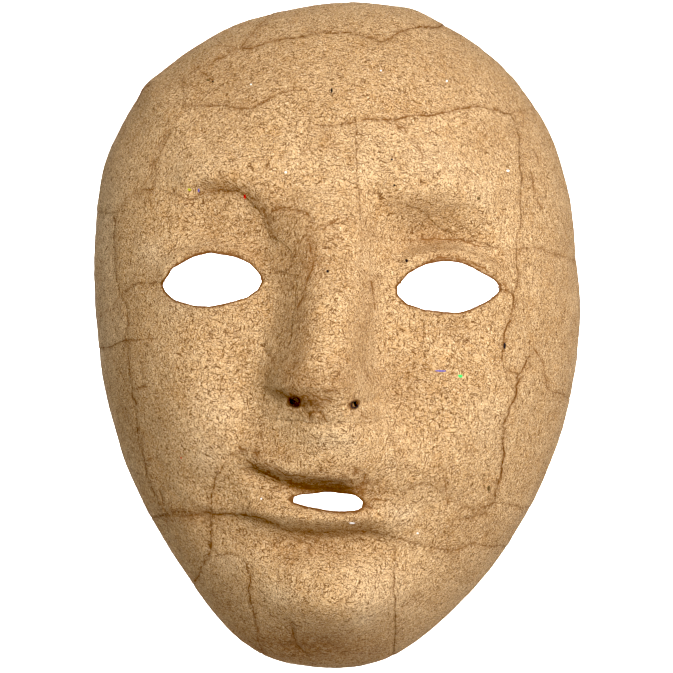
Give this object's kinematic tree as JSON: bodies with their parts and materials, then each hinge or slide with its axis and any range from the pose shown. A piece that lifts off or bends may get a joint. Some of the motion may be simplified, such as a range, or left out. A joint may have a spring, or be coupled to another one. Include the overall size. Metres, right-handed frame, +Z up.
{
  "type": "papier-mache full-face mask",
  "caption": "Plain unpainted papier-mache full-face mask: a pressed paper shell under torn brown paper sheets, with eye, nostril and mouth openings.",
  "frame": {"origin": "middle of the flat back of the rim, on the plane that meets the wearer's face, where the middle line of the mask's face crosses it", "axes": "+Z up along the mask's length, +Y back towards the wearer so the mask faces -Y, +X to the right as the mask is looked at from the front"},
  "size_m": [0.1611, 0.0691, 0.2203],
  "materials": {
    "outer_paper": "matte, fibrous",
    "core_pulp": "matte, coarse",
    "lining_paper": "matte, fibrous"
  },
  "bodies": {
    "root": {"core_shell": "core_pulp", "crown_sheet": "outer_paper", "forehead_left_sheet": "outer_paper", "forehead_right_sheet": "outer_paper", "forehead_top_sheet": "outer_paper", "left_brow_sheet": "outer_paper", "left_cheek_sheet": "outer_paper", "left_chin_sheet": "outer_paper", "left_jaw_sheet": "outer_paper", "left_side_lower_sheet": "outer_paper", "left_side_upper_sheet": "outer_paper", "left_temple_sheet": "outer_paper", "lining_chin_sheet": "lining_paper", "lining_forehead_sheet": "lining_paper", "lining_left_cheek_sheet": "lining_paper", "lining_nose_sheet": "lining_paper", "lining_right_cheek_sheet": "lining_paper", "middle_chin_sheet": "outer_paper", "mouth_sheet": "outer_paper", "nose_sheet": "outer_paper", "right_brow_sheet": "outer_paper", "right_cheek_sheet": "outer_paper", "right_chin_sheet": "outer_paper", "right_side_lower_sheet": "outer_paper", "right_side_upper_sheet": "outer_paper", "right_temple_sheet": "outer_paper", "upper_lip_sheet": "outer_paper"}
  },
  "joints": []
}
